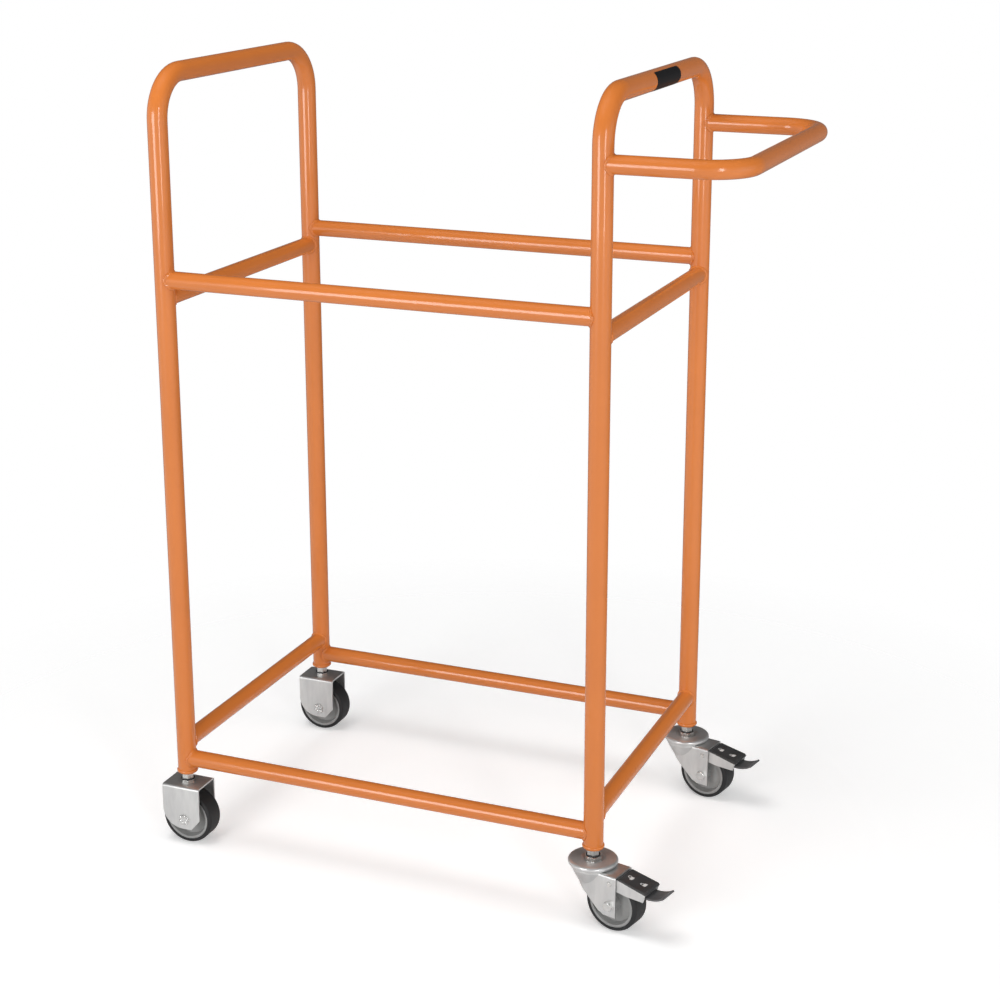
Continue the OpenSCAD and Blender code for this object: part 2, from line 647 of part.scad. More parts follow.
// The release tongue: a strip under the lever's end that curves up behind it
module release_tongue() {
    intersection() {
        translate([tongue_x, 0, tongue_z + tongue_r]) rotate([90, 0, 0]) difference() {
            cylinder(h = tongue_w, r = tongue_r + tongue_t / 2, center = true, $fn = 96);
            cylinder(h = tongue_w + 2, r = tongue_r - tongue_t / 2, center = true, $fn = 96);
        }
        upright(tongue_w + 2) polygon([[tongue_x, tongue_z + tongue_r],
            [tongue_x, tongue_z - 0.3 * tongue_r],
            [tongue_x + 1.3 * tongue_r * sin(tongue_sweep / 2),
                tongue_z + tongue_r - 1.3 * tongue_r * cos(tongue_sweep / 2)],
            [tongue_x + 1.3 * tongue_r * sin(tongue_sweep),
                tongue_z + tongue_r - 1.3 * tongue_r * cos(tongue_sweep)]]);
    }
    upright(tongue_w) polygon([[tongue_x, tongue_z - tongue_t / 2],
        [tongue_x, tongue_z + tongue_t / 2], [tongue_x - 4, tongue_z + tongue_t / 2],
        [tongue_x - 5, lever_top(tongue_x - 5) - lever_t],
        [tongue_x - 13, lever_top(tongue_x - 13) - lever_t],
        [tongue_x - 13, tongue_z - tongue_t / 2]]);
}

module front_right_release_tongue() color([0.3, 0.3, 0.31]) at_front_right() release_tongue();
module rear_right_release_tongue() color([0.3, 0.3, 0.31]) at_rear_right() release_tongue();

left_end_hoop();
right_end_hoop();
upper_front_rail();
upper_rear_rail();
lower_front_rail();
lower_rear_rail();
upper_left_cross_rail();
upper_right_cross_rail();
lower_left_cross_rail();
lower_right_cross_rail();
push_handle();
leg_end_bushes();
rail_weld_beads();
handle_weld_beads();
leg_weld_beads();
stem_nuts();
stem_lock_washers();
fixed_caster_stems();
front_left_fork();
rear_left_fork();
front_left_axle();
rear_left_axle();
front_left_hub();
front_left_tyre();
front_left_wheel_bushes();
rear_left_hub();
rear_left_tyre();
rear_left_wheel_bushes();
front_right_kingpin_stem();
front_right_swivel_head();
front_right_bearing_balls();
front_right_fork();
front_right_axle_bolt();
front_right_axle_nut();
front_right_hub();
front_right_tyre();
front_right_wheel_bushes();
front_right_brake_lever();
front_right_brake_rivets();
front_right_brake_shoe();
front_right_pedal_cover();
front_right_release_tongue();
rear_right_kingpin_stem();
rear_right_swivel_head();
rear_right_bearing_balls();
rear_right_fork();
rear_right_axle_bolt();
rear_right_axle_nut();
rear_right_hub();
rear_right_tyre();
rear_right_wheel_bushes();
rear_right_brake_lever();
rear_right_brake_rivets();
rear_right_brake_shoe();
rear_right_pedal_cover();
rear_right_release_tongue();
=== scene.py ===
# %% [markdown]
# # A tyre trolley, dressed in Blender
# The trolley comes out of CAD as bent tubes, forks, wheels and brakes, each a piece of its own. This
# lesson gives each piece its finish, and adds the small things that CAD leaves out: soft weld seams,
# staked axle ends, the marks on the brake pedals and a plain label. Everything is in metres, in the same
# frame as the CAD.

# %% Load the frame
import json
import math

import bpy
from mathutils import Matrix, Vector


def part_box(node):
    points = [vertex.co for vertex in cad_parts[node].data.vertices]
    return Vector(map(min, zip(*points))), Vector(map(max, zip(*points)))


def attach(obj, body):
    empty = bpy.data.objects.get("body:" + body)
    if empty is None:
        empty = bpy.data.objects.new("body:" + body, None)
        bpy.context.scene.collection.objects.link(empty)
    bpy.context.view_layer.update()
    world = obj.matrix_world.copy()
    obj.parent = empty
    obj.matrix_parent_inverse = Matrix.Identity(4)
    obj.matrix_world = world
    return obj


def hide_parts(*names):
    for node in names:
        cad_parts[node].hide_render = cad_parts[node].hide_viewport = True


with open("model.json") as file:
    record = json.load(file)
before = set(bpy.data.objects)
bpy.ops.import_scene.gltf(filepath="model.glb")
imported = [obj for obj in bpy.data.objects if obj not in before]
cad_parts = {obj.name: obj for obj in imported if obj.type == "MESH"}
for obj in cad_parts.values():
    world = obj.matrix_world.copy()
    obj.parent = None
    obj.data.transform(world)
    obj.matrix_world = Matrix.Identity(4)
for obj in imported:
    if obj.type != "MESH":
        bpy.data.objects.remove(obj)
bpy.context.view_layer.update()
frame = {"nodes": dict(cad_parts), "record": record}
nodes = frame["nodes"]

# %% [markdown]
# The shader groups come first. Powder coat, plated steel, moulded plastic and rubber all share two
# effects: a fine grain that makes the surface a little uneven, and worn or dusty edges.
# Each effect is a node group with named sockets, built once, and each material gives it its own values.
# The grain has two outputs: a fine height for the bump, and broad clouds along which a colour can drift.

# %% Shader group: fine grain
def new_group(name, inputs, outputs):
    group = bpy.data.node_groups.new(name, "ShaderNodeTree")
    for label, kind, value in inputs:
        made = group.interface.new_socket(name=label, in_out="INPUT", socket_type=kind)
        if value is not None:
            made.default_value = value
    for label, kind in outputs:
        group.interface.new_socket(name=label, in_out="OUTPUT", socket_type=kind)
    enter = group.nodes.new("NodeGroupInput")
    leave = group.nodes.new("NodeGroupOutput")
    return group, enter, leave


def add_noise(tree, coordinates, scale, detail, roughness=0.5):
    noise = tree.nodes.new("ShaderNodeTexNoise")
    noise.inputs["Detail"].default_value = detail
    noise.inputs["Roughness"].default_value = roughness
    tree.links.new(coordinates, noise.inputs["Vector"])
    tree.links.new(scale, noise.inputs["Scale"])
    return noise.outputs["Fac"]


def add_range(tree, value, low=0.0, high=1.0, to_low=0.0, to_high=1.0):
    """Turns values from low to high into values from to_low to to_high."""
    spread = tree.nodes.new("ShaderNodeMapRange")
    spread.inputs["From Min"].default_value = low
    spread.inputs["From Max"].default_value = high
    spread.inputs["To Min"].default_value = to_low
    spread.inputs["To Max"].default_value = to_high
    tree.links.new(value, spread.inputs["Value"])
    return spread.outputs["Result"]


grain_group, enter, leave = new_group(
    "Fine grain",
    [("Vector", "NodeSocketVector", None), ("Fine scale", "NodeSocketFloat", 900.0),
     ("Broad scale", "NodeSocketFloat", 12.0)],
    [("Height", "NodeSocketFloat"), ("Cloud", "NodeSocketFloat")],
)
ripple = add_noise(grain_group, enter.outputs["Vector"], enter.outputs["Fine scale"], detail=3.0)
cloud = add_noise(
    grain_group, enter.outputs["Vector"], enter.outputs["Broad scale"], detail=4.0, roughness=0.6)
grain_group.links.new(ripple, leave.inputs["Height"])
grain_group.links.new(add_range(grain_group, cloud, low=0.3, high=0.7), leave.inputs["Cloud"])
print("built group", grain_group.name)

# %% [markdown]
# Edges catch wear and light. The Bevel node gives the normal that a slightly rounded edge would have.
# Where it differs from the true normal there is an edge, so the dot product of the two makes a mask,
# and noise breaks the mask up so that the wear doesn't look drawn with a ruler.
# The dot product is 1 on a flat face, and falls where the two normals part.

# %% Shader group: edge wear
EDGE_STARTS = 0.995
EDGE_IS_FULL = 0.9
BREAKUP_STARTS = 0.4
BREAKUP_IS_FULL = 0.62


def add_math(tree, operation, first, second):
    node = tree.nodes.new("ShaderNodeMath")
    node.operation = operation
    for socket, value in zip(node.inputs, (first, second)):
        if isinstance(value, (int, float)):
            socket.default_value = value
        else:
            tree.links.new(value, socket)
    return node.outputs["Value"]


edge_group, enter, leave = new_group(
    "Edge wear",
    [("Vector", "NodeSocketVector", None), ("Width", "NodeSocketFloat", 0.0008),
     ("Breakup scale", "NodeSocketFloat", 160.0)],
    [("Mask", "NodeSocketFloat"), ("Normal", "NodeSocketVector")],
)
bevel = edge_group.nodes.new("ShaderNodeBevel")
bevel.samples = 4
edge_group.links.new(enter.outputs["Width"], bevel.inputs["Radius"])
geometry = edge_group.nodes.new("ShaderNodeNewGeometry")
dot = edge_group.nodes.new("ShaderNodeVectorMath")
dot.operation = "DOT_PRODUCT"
edge_group.links.new(bevel.outputs["Normal"], dot.inputs[0])
edge_group.links.new(geometry.outputs["Normal"], dot.inputs[1])
edge = add_range(edge_group, dot.outputs["Value"], EDGE_STARTS, EDGE_IS_FULL)
breakup = add_noise(
    edge_group, enter.outputs["Vector"], enter.outputs["Breakup scale"], detail=3.0, roughness=0.7)
patches = add_range(edge_group, breakup, BREAKUP_STARTS, BREAKUP_IS_FULL)
edge_group.links.new(add_math(edge_group, "MULTIPLY", edge, patches), leave.inputs["Mask"])
edge_group.links.new(bevel.outputs["Normal"], leave.inputs["Normal"])
print("built group", edge_group.name)

# %% [markdown]
# Two kinds of node are needed in every material: a shader group that is given its own values, and a mix
# of two colours. Each gets a helper, so that the recipe for a finish reads as a list of steps.
# The Mix node has an A and a B for each kind of value, so its colour sockets are found by number.

# %% Helpers for groups and mixes
COLOUR_A, COLOUR_B, COLOUR_RESULT = 6, 7, 2


def add_group(tree, group, coordinates, **values):
    node = tree.nodes.new("ShaderNodeGroup")
    node.node_tree = group
    tree.links.new(coordinates, node.inputs["Vector"])
    for label, value in values.items():
        node.inputs[label.replace("_", " ")].default_value = value
    return node


def add_mix(tree, factor, first, second):
    mix = tree.nodes.new("ShaderNodeMix")
    mix.data_type = "RGBA"
    tree.links.new(factor, mix.inputs["Factor"])
    for number, colour in ((COLOUR_A, first), (COLOUR_B, second)):
        if isinstance(colour, tuple):
            mix.inputs[number].default_value = (*colour, 1.0)
        else:
            tree.links.new(colour, mix.inputs[number])
    return mix.outputs[COLOUR_RESULT]


print("a mix takes its colours from sockets", COLOUR_A, "and", COLOUR_B)

# %% [markdown]
# Every finish on this trolley is a painted, plated or moulded surface, so one recipe serves them all:
# a base colour that drifts a little between two tones, a third colour where edges are worn,
# a roughness that follows the same clouds, and a fine bump. The values make it paint, zinc or rubber.
# The pattern reads the Object coordinates, so it stays on the piece when a joint moves it.

# %% A recipe for finishes
COAT_ROUGHNESS = 0.07


def make_finish(name, tone, cloud_tone, wear_tone, rough, bump, fine, broad=12.0, bump_size=0.0002,
                metallic=0.0, edge_width=0.0006, wear=1.0, coat=0.0, shine=0.5, stretch=None):
    finish = bpy.data.materials.new(name)
    finish.use_nodes = True
    tree = finish.node_tree
    shader = tree.nodes["Principled BSDF"]
    place = tree.nodes.new("ShaderNodeTexCoord").outputs["Object"]
    grain_place = place
    if stretch:
        mapping = tree.nodes.new("ShaderNodeMapping")
        mapping.inputs["Scale"].default_value = stretch
        tree.links.new(place, mapping.inputs["Vector"])
        grain_place = mapping.outputs["Vector"]
    grain = add_group(tree, grain_group, grain_place, Fine_scale=fine, Broad_scale=broad)
    edges = add_group(tree, edge_group, place, Width=edge_width)
    colour = add_mix(tree, grain.outputs["Cloud"], tone, cloud_tone)
    mask = add_math(tree, "MULTIPLY", edges.outputs["Mask"], wear)
    tree.links.new(add_mix(tree, mask, colour, wear_tone), shader.inputs["Base Color"])
    roughness = add_range(tree, grain.outputs["Cloud"], to_low=rough[0], to_high=rough[1])
    tree.links.new(roughness, shader.inputs["Roughness"])
    shader.inputs["Metallic"].default_value = metallic
    shader.inputs["Coat Weight"].default_value = coat
    shader.inputs["Coat Roughness"].default_value = COAT_ROUGHNESS
    shader.inputs["Specular IOR Level"].default_value = shine
    height = tree.nodes.new("ShaderNodeBump")
    height.inputs["Strength"].default_value = bump
    height.inputs["Distance"].default_value = bump_size
    tree.links.new(grain.outputs["Height"], height.inputs["Height"])
    tree.links.new(edges.outputs["Normal"], height.inputs["Normal"])
    tree.links.new(height.outputs["Normal"], shader.inputs["Normal"])
    print("finish", name)
    return finish


print("the recipe places", grain_group.name, "and", edge_group.name)

# %% [markdown]
# Powder coat is sprayed as dry powder and melted on. It leaves a satin gloss with a soft orange-peel ripple
# of a few millimetres, so the grain is coarse and shallow. In the shader, a clear coat over the colour
# gives the gloss. Little wear shows, because powder coat wraps round the edges.

# %% Powder coat
powder_coat = make_finish(
    "Orange powder coat",
    tone=(0.655, 0.192, 0.036), cloud_tone=(0.605, 0.172, 0.030), wear_tone=(0.74, 0.28, 0.08),
    rough=(0.20, 0.27), bump=0.13, bump_size=0.0001, fine=420.0, broad=6.0, wear=0.4, coat=0.5, shine=0.35)

# %% [markdown]
# The casters' steel is zinc plated. The pressed forks are bright and slightly streaked from the sheet they
# were cut from, so their grain is stretched along the upright. The rolled swivel heads are duller, the nuts
# and stems are bright, the bolt heads are the smoothest, and the lock washers are black.
# None of it is a clean mirror: the clouds change its roughness from place to place.

# %% Plated and blackened steel
bright_zinc = make_finish(
    "Bright plated steel",
    tone=(0.72, 0.72, 0.71), cloud_tone=(0.54, 0.54, 0.54), wear_tone=(0.85, 0.85, 0.84),
    rough=(0.30, 0.44), metallic=0.86, bump=0.2, bump_size=0.0001, fine=700.0, broad=40.0,
    stretch=(1.0, 1.0, 0.25))
head_zinc = make_finish(
    "Dull plated steel",
    tone=(0.70, 0.70, 0.69), cloud_tone=(0.56, 0.56, 0.56), wear_tone=(0.80, 0.80, 0.79),
    rough=(0.28, 0.40), metallic=0.72, bump=0.1, bump_size=0.0001, fine=600.0, broad=45.0)
nut_zinc = make_finish(
    "Bright plated nuts and stems",
    tone=(0.72, 0.71, 0.69), cloud_tone=(0.60, 0.60, 0.58), wear_tone=(0.85, 0.85, 0.84),
    rough=(0.20, 0.32), metallic=0.85, bump=0.1, bump_size=0.0001, fine=800.0, broad=120.0)
bolt_zinc = make_finish(
    "Smooth plated bolt heads",
    tone=(0.74, 0.74, 0.73), cloud_tone=(0.62, 0.62, 0.61), wear_tone=(0.88, 0.88, 0.87),
    rough=(0.10, 0.20), metallic=1.0, bump=0.15, bump_size=0.0001, fine=900.0, broad=150.0)
washer_steel = make_finish(
    "Blackened steel",
    tone=(0.05, 0.05, 0.055), cloud_tone=(0.03, 0.03, 0.035), wear_tone=(0.2, 0.2, 0.2),
    rough=(0.35, 0.5), metallic=1.0, bump=0.1, fine=900.0)

# %% [markdown]
# The wheels are a dull near-black tyre on a grey moulded hub, and the brakes have a black moulded cover
# and a dark grey tongue. Moulded plastic has a fine matt texture from its mould, so the bump is small
# and dense. Each one's wear tone is a lighter grey, because plastic and rubber pale where they are rubbed.

# %% Rubber and plastics
tyre_rubber = make_finish(
    "Black tyre rubber",
    tone=(0.013, 0.013, 0.014), cloud_tone=(0.020, 0.020, 0.021), wear_tone=(0.04, 0.04, 0.04),
    rough=(0.46, 0.62), bump=0.3, bump_size=0.00015, fine=1400.0, broad=30.0, shine=0.35)
hub_plastic = make_finish(
    "Grey hub plastic",
    tone=(0.34, 0.34, 0.335), cloud_tone=(0.28, 0.28, 0.275), wear_tone=(0.52, 0.52, 0.51),
    rough=(0.38, 0.5), bump=0.15, bump_size=0.0001, fine=1100.0, broad=35.0)
cover_plastic = make_finish(
    "Black pedal plastic",
    tone=(0.036, 0.036, 0.037), cloud_tone=(0.046, 0.046, 0.047), wear_tone=(0.09, 0.09, 0.09),
    rough=(0.46, 0.60), bump=0.3, bump_size=0.00012, fine=1600.0, broad=60.0)
tongue_plastic = make_finish(
    "Dark grey tongue plastic",
    tone=(0.105, 0.105, 0.108), cloud_tone=(0.080, 0.080, 0.083), wear_tone=(0.20, 0.20, 0.20),
    rough=(0.34, 0.48), bump=0.2, bump_size=0.0001, fine=1500.0, broad=60.0)

# %% [markdown]
# Two thin layers remain. The marks on the pedals are white paint, with no wear of their own because they
# are so small. The label is a plain black film, nearly without shine, so that it stays black in the light.

# %% Marking paint and label film
mark_paint = make_finish(
    "White marking paint",
    tone=(0.78, 0.78, 0.77), cloud_tone=(0.68, 0.68, 0.67), wear_tone=(0.8, 0.8, 0.8),
    rough=(0.45, 0.55), bump=0.1, fine=1600.0, broad=900.0, wear=0.0)
label_film = make_finish(
    "Plain black label film",
    tone=(0.008, 0.008, 0.009), cloud_tone=(0.012, 0.012, 0.013), wear_tone=(0.10, 0.10, 0.10),
    rough=(0.45, 0.55), bump=0.05, fine=1200.0, broad=30.0, edge_width=0.0008, wear=0.6, shine=0.15)

# %% [markdown]
# The CAD nodes keep their shapes, and each one takes the finish of its record slot.
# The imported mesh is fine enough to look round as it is, so only the finishes are added here.
# A slot can cover pieces that look a little different, so a few nodes are named with a finish of their own.

# %% Dress the CAD nodes
FIXED_CASTERS = ("front_left", "rear_left")
SWIVEL_CASTERS = ("front_right", "rear_right")
slot_finish = {
    "orange_paint": powder_coat, "zinc_plate": nut_zinc, "dark_washer_steel": washer_steel,
    "bush_steel": head_zinc, "ball_steel": bright_zinc, "hub_plastic": hub_plastic,
    "tyre_tread": tyre_rubber, "cover_plastic": cover_plastic, "tongue_plastic": tongue_plastic,
    "shoe_rubber": tyre_rubber, "bright_steel": bright_zinc,
}
own_finish = {"fixed_caster_stems": nut_zinc}
for caster in SWIVEL_CASTERS:
    own_finish[caster + "_swivel_head"] = head_zinc
    own_finish[caster + "_kingpin_stem"] = nut_zinc
    own_finish[caster + "_axle_bolt"] = bolt_zinc
    own_finish[caster + "_axle_nut"] = bolt_zinc
node_slot = {row["node"]: row["material_slot"] for row in frame["record"]["subparts"]}
for name, piece in nodes.items():
    piece.data.materials.clear()
    piece.data.materials.append(own_finish.get(name, slot_finish[node_slot[name]]))
print("dressed", len(nodes), "nodes,", len(own_finish), "of them with a finish of their own")

# %% [markdown]
# The new pieces sit on tubes and casters, so their places are worked out from the CAD nodes' own boxes.
# Most of them need the axes of the legs, the planes of the long rails and the radii of the two tubes.

# %% Places taken from the frame
def box_middle(node):
    low_corner, high_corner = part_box(node)
    return (Vector(low_corner) + Vector(high_corner)) / 2


def box_size(node):
    low_corner, high_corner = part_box(node)
    return Vector(high_corner) - Vector(low_corner)


LEFT_X = box_middle("left_end_hoop").x
RIGHT_X = box_middle("right_end_hoop").x
FRONT_Y = box_middle("upper_front_rail").y
REAR_Y = box_middle("upper_rear_rail").y
HOOP_RADIUS = box_size("left_end_hoop").x / 2
RAIL_RADIUS = box_size("upper_front_rail").z / 2
print("legs at x", round(LEFT_X, 4), round(RIGHT_X, 4), "and y", round(FRONT_Y, 4), round(REAR_Y, 4))
print("tube radii", round(HOOP_RADIUS, 4), round(RAIL_RADIUS, 4))

# %% [markdown]
# New pieces are modelled with Blender's own operators. These act on everything that is selected, and the
# import leaves the whole frame selected. Small helpers keep this in hand: one clears the selection,
# one picks a single piece, and one moves a piece's place, turn and scale into its mesh, as in a CAD node.
# A finished piece is then given its material, and rides on the CAD body that carries it.

# %% Helpers for selecting and finishing
MM = 0.001


def clear_selection():
    if bpy.context.object and bpy.context.object.mode != "OBJECT":
        bpy.ops.object.mode_set(mode="OBJECT")
    bpy.ops.object.select_all(action="DESELECT")


def pick(piece):
    clear_selection()
    piece.select_set(True)
    bpy.context.view_layer.objects.active = piece
    return piece


def settle(piece):
    pick(piece)
    bpy.ops.object.transform_apply(location=True, rotation=True, scale=True)
    return piece


def add_piece(piece, body, material):
    piece.data.materials.clear()
    piece.data.materials.append(material)
    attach(piece, body)
    print(piece.name, "faces:", len(piece.data.polygons))


clear_selection()
print("selected pieces:", len(bpy.context.selected_objects))

# %% [markdown]
# A weld fills the corner between two tubes, and the powder coat over it softens it to a low sloping seam.
# It starts as a torus round the end of the rail. Its round section is drawn in to a slope that meets both
# tubes at a low angle, and it swells and shrinks a little along the seam. Each slice is then pushed along
# the rail until its middle lies on the upright tube that the rail is cut to fit.
# The middle of the seam is sunk a little into both tubes, so that no gap shows.

# %% One weld bead
BEAD_REACH = 3.6 * MM
BEAD_SINK = 0.9 * MM
SEAM_RADIUS = RAIL_RADIUS - BEAD_SINK
BEAD_FULLNESS = 0.98
BEAD_RIPPLES = 26
BEAD_RIPPLE_DEPTH = 0.05
BEAD_WOBBLE = 0.7


def ring_wobble(angle, turn):
    """A slow unevenness along a weld, different for each turn value."""
    three_waves = 0.05 * math.sin(3 * angle + turn)
    five_waves = 0.04 * math.sin(5 * angle + 2.3 * turn)
    return three_waves + five_waves


def make_saddle_bead(turn):
    bpy.ops.mesh.primitive_torus_add(
        major_segments=104, minor_segments=16, major_radius=SEAM_RADIUS, minor_radius=BEAD_REACH,
        rotation=(0, math.pi / 2, 0))
    bead = settle(bpy.context.object)
    for point in bead.data.vertices:
        angle = math.atan2(point.co.z, point.co.y)
        outward = Vector((0, math.cos(angle), math.sin(angle)))
        centre = outward * SEAM_RADIUS
        spoke = point.co - centre
        slope = BEAD_REACH / (abs(spoke.x) + abs(spoke.dot(outward)))
        ripples = BEAD_RIPPLE_DEPTH * math.cos(BEAD_RIPPLES * angle)
        swell = BEAD_FULLNESS + ripples + BEAD_WOBBLE * ring_wobble(angle, turn)
        point.co = centre + spoke * slope * swell
        point.co.x += math.sqrt(HOOP_RADIUS ** 2 - centre.y ** 2) - BEAD_SINK
    bpy.ops.object.shade_smooth()
    return bead


print("a bead runs", round(SEAM_RADIUS, 4), "from the rail's axis and reaches", round(BEAD_REACH, 4))

# %% [markdown]
# Every rail end gets such a bead, with its own unevenness, turned to face along its rail. The long rails
# run from the left hoop to the right hoop, and the cross rails from the front legs to the rear legs.
# The beads are joined into one piece, so that it can stand for the CAD node of the rails' welds.

# %% Weld beads on the rails
def place_bead(bead, spot, turn):
    bead.rotation_euler = (0, 0, turn)
    bead.location = spot
    return settle(bead)


def join_as(name, pieces):
    clear_selection()
    for piece in pieces:
        piece.select_set(True)
    bpy.context.view_layer.objects.active = pieces[0]
    if len(pieces) > 1:
        bpy.ops.object.join()
    pieces[0].name = name
    pieces[0].data.name = name
    return pieces[0]


def rail_ends():
    """Gives each rail end's place on its leg's axis, and the turn that faces a bead along the rail."""
    for level in ("upper", "lower"):
        for side in ("front", "rear"):
            middle = box_middle(level + "_" + side + "_rail")
            yield (LEFT_X, middle.y, middle.z), 0.0
            yield (RIGHT_X, middle.y, middle.z), math.pi
    for level in ("upper", "lower"):
        for end in ("left", "right"):
            middle = box_middle(level + "_" + end + "_cross_rail")
            yield (middle.x, FRONT_Y, middle.z), math.pi / 2
            yield (middle.x, REAR_Y, middle.z), -math.pi / 2


rail_welds = join_as("Rail_welds", [
    place_bead(make_saddle_bead(number), spot, turn) for number, (spot, turn) in enumerate(rail_ends())])
add_piece(rail_welds, "frame", powder_coat)
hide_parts("rail_weld_beads")

# %% [markdown]
# Both arms of the push handle end on the right hoop, at one height. They get beads of the same kind, with
# turn values that no rail weld has, so that no two seams on the trolley are the same.

# %% Weld beads on the push handle
FIRST_HANDLE_TURN = 20
handle_height = box_middle("push_handle").z
handle_welds = join_as("Handle_welds", [
    place_bead(make_saddle_bead(FIRST_HANDLE_TURN + number), (RIGHT_X, y, handle_height), 0.0)
    for number, y in enumerate((FRONT_Y, REAR_Y))])
add_piece(handle_welds, "frame", powder_coat)
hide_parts("handle_weld_beads")

# %% [markdown]
# Under each leg a broad, soft weld joins the tube to its threaded bush. On the real trolley it is a swollen
# ring some six millimetres tall, with the paint run smoothly over it. A torus is flattened a little at its
# sides and given the same slow unevenness, with shallower ripples. Its height waves gently round the leg.

# %% Leg end welds
weld_low, weld_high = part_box("leg_weld_beads")
LEG_WELD_HEIGHT = (weld_low[2] + weld_high[2]) / 2
LEG_WELD_OUT = (weld_high[0] - weld_low[0] - (RIGHT_X - LEFT_X)) / 2
LEG_WELD_THICK = 3.1 * MM
LEG_WELD_RING = LEG_WELD_OUT - LEG_WELD_THICK
LEG_WELD_FULLNESS = 0.94
LEG_WELD_RIPPLES = 34
LEG_WELD_RIPPLE_DEPTH = 0.04
LEG_WELD_WOBBLE = 0.4
LEG_WELD_WAVE = 0.3 * MM


def make_leg_weld(x, y, turn):
    bpy.ops.mesh.primitive_torus_add(
        major_segments=96, minor_segments=16, major_radius=LEG_WELD_RING, minor_radius=LEG_WELD_THICK,
        location=(x, y, LEG_WELD_HEIGHT))
    weld = settle(bpy.context.object)
    for point in weld.data.vertices:
        across = Vector((point.co.x - x, point.co.y - y, 0))
        angle = math.atan2(across.y, across.x)
        outward = across.length - LEG_WELD_RING
        ripples = LEG_WELD_RIPPLE_DEPTH * math.cos(LEG_WELD_RIPPLES * angle)
        fullness = LEG_WELD_FULLNESS + ripples + LEG_WELD_WOBBLE * ring_wobble(angle, turn)
        across = across.normalized() * (LEG_WELD_RING + outward * fullness)
        wave = LEG_WELD_WAVE * math.sin(2 * angle + turn)
        point.co = Vector((x, y, 0)) + across + Vector((0, 0, point.co.z + wave))
    bpy.ops.object.shade_smooth()
    return weld


leg_places = [(x, y) for x in (LEFT_X, RIGHT_X) for y in (FRONT_Y, REAR_Y)]
leg_welds = join_as("Leg_end_welds", [
    make_leg_weld(x, y, 3 * number) for number, (x, y) in enumerate(leg_places)])
add_piece(leg_welds, "frame", powder_coat)
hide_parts("leg_weld_beads")

# %% [markdown]
# The next pieces are finished with modifiers, and one of them has a face inset. One helper applies
# a piece's modifiers in their order. The other goes into edit mode with only the upward faces selected.
# It finds them by their normals, because an operator acts on whatever is selected.

# %% Helpers for modifiers and upward faces
UPWARD = 0.9


def apply_modifiers(piece):
    pick(piece)
    for modifier in list(piece.modifiers):
        bpy.ops.object.modifier_apply(modifier=modifier.name)


def edit_top_faces(piece):
    pick(piece)
    bpy.ops.object.mode_set(mode="EDIT")
    bpy.ops.mesh.select_mode(type="FACE")
    bpy.ops.mesh.select_all(action="DESELECT")
    bpy.ops.object.mode_set(mode="OBJECT")
    for face in piece.data.polygons:
        face.select = face.normal.z > UPWARD
    bpy.ops.object.mode_set(mode="EDIT")


print("an upward face has a normal with z over", UPWARD)

# %% [markdown]
# The axle of a fixed caster isn't bolted: its end is pressed over with a star-shaped punch, which leaves
# a ring of rounded petals round a small pit. Each petal starts as a sphere that is flattened and stretched
# outward. The pit is a second inset in the top of a disc, pushed down. Petals and disc are then fused
# by a voxel remesh and smoothed, so that they look forged from one piece.

# %% One staked axle end
PETALS = 6
PETAL_RING = 5.6 * MM
PETAL_TURN = 0.26
PETAL_LIFT = 0.2 * MM
PETAL_HALF_SIZE = (3.3 * MM, 1.9 * MM, 1.5 * MM)
DISC_RADIUS = 7.0 * MM
DISC_THICK = 1.2 * MM
PIT_FROM_RIM = 4.6 * MM
PIT_SLOPE = 0.5 * MM
PIT_DEPTH = 0.7 * MM
FORGED_GRAIN = 0.32 * MM


def make_petal(angle):
    bpy.ops.mesh.primitive_uv_sphere_add(
        segments=24, ring_count=12, radius=1.0, rotation=(0, 0, angle),
        location=(PETAL_RING * math.cos(angle), PETAL_RING * math.sin(angle), PETAL_LIFT))
    petal = bpy.context.object
    petal.scale = PETAL_HALF_SIZE
    return settle(petal)


def make_stake():
    petals = [make_petal(2 * math.pi * number / PETALS + PETAL_TURN) for number in range(PETALS)]
    bpy.ops.mesh.primitive_cylinder_add(vertices=48, radius=DISC_RADIUS, depth=DISC_THICK)
    disc = settle(bpy.context.object)
    edit_top_faces(disc)
    bpy.ops.mesh.inset(thickness=PIT_FROM_RIM)
    bpy.ops.mesh.inset(thickness=PIT_SLOPE, depth=-PIT_DEPTH)
    bpy.ops.object.mode_set(mode="OBJECT")
    stake = join_as("Axle_stake", [disc] + petals)
    remesh = stake.modifiers.new("Fuse", "REMESH")
    remesh.mode = "VOXEL"
    remesh.voxel_size = FORGED_GRAIN
    smooth = stake.modifiers.new("Soften", "SMOOTH")
    smooth.iterations = 3
    apply_modifiers(stake)
    bpy.ops.object.shade_smooth()
    return stake


stake = make_stake()
print("one stake faces:", len(stake.data.polygons))

# %% [markdown]
# Both ends of both fixed axles are staked alike. So the stake is copied, each copy with its own mesh,
# turned to look out to the front or to the rear, and sunk a little into the head of its axle.
# The two copies on one caster are joined. The first stake has then done its work, and goes.

# %% Staked ends on the fixed axles
STAKE_SINK = 0.75 * MM
FRONT, REAR = -1, 1


def stand_on_side(stake, axle, side):
    low_corner, high_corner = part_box(axle)
    pick(stake)
    bpy.ops.object.duplicate()
    copy = bpy.context.object
    copy.rotation_euler = (-side * math.pi / 2, 0, 0)
    middle = box_middle(axle)
    head = low_corner[1] if side == FRONT else high_corner[1]
    copy.location = (middle.x, head - side * STAKE_SINK, middle.z)
    return settle(copy)


for caster in FIXED_CASTERS:
    ends = [stand_on_side(stake, caster + "_axle", side) for side in (FRONT, REAR)]
    add_piece(join_as(caster + "_axle_stakes", ends), "frame", bolt_zinc)
bpy.data.objects.remove(stake)

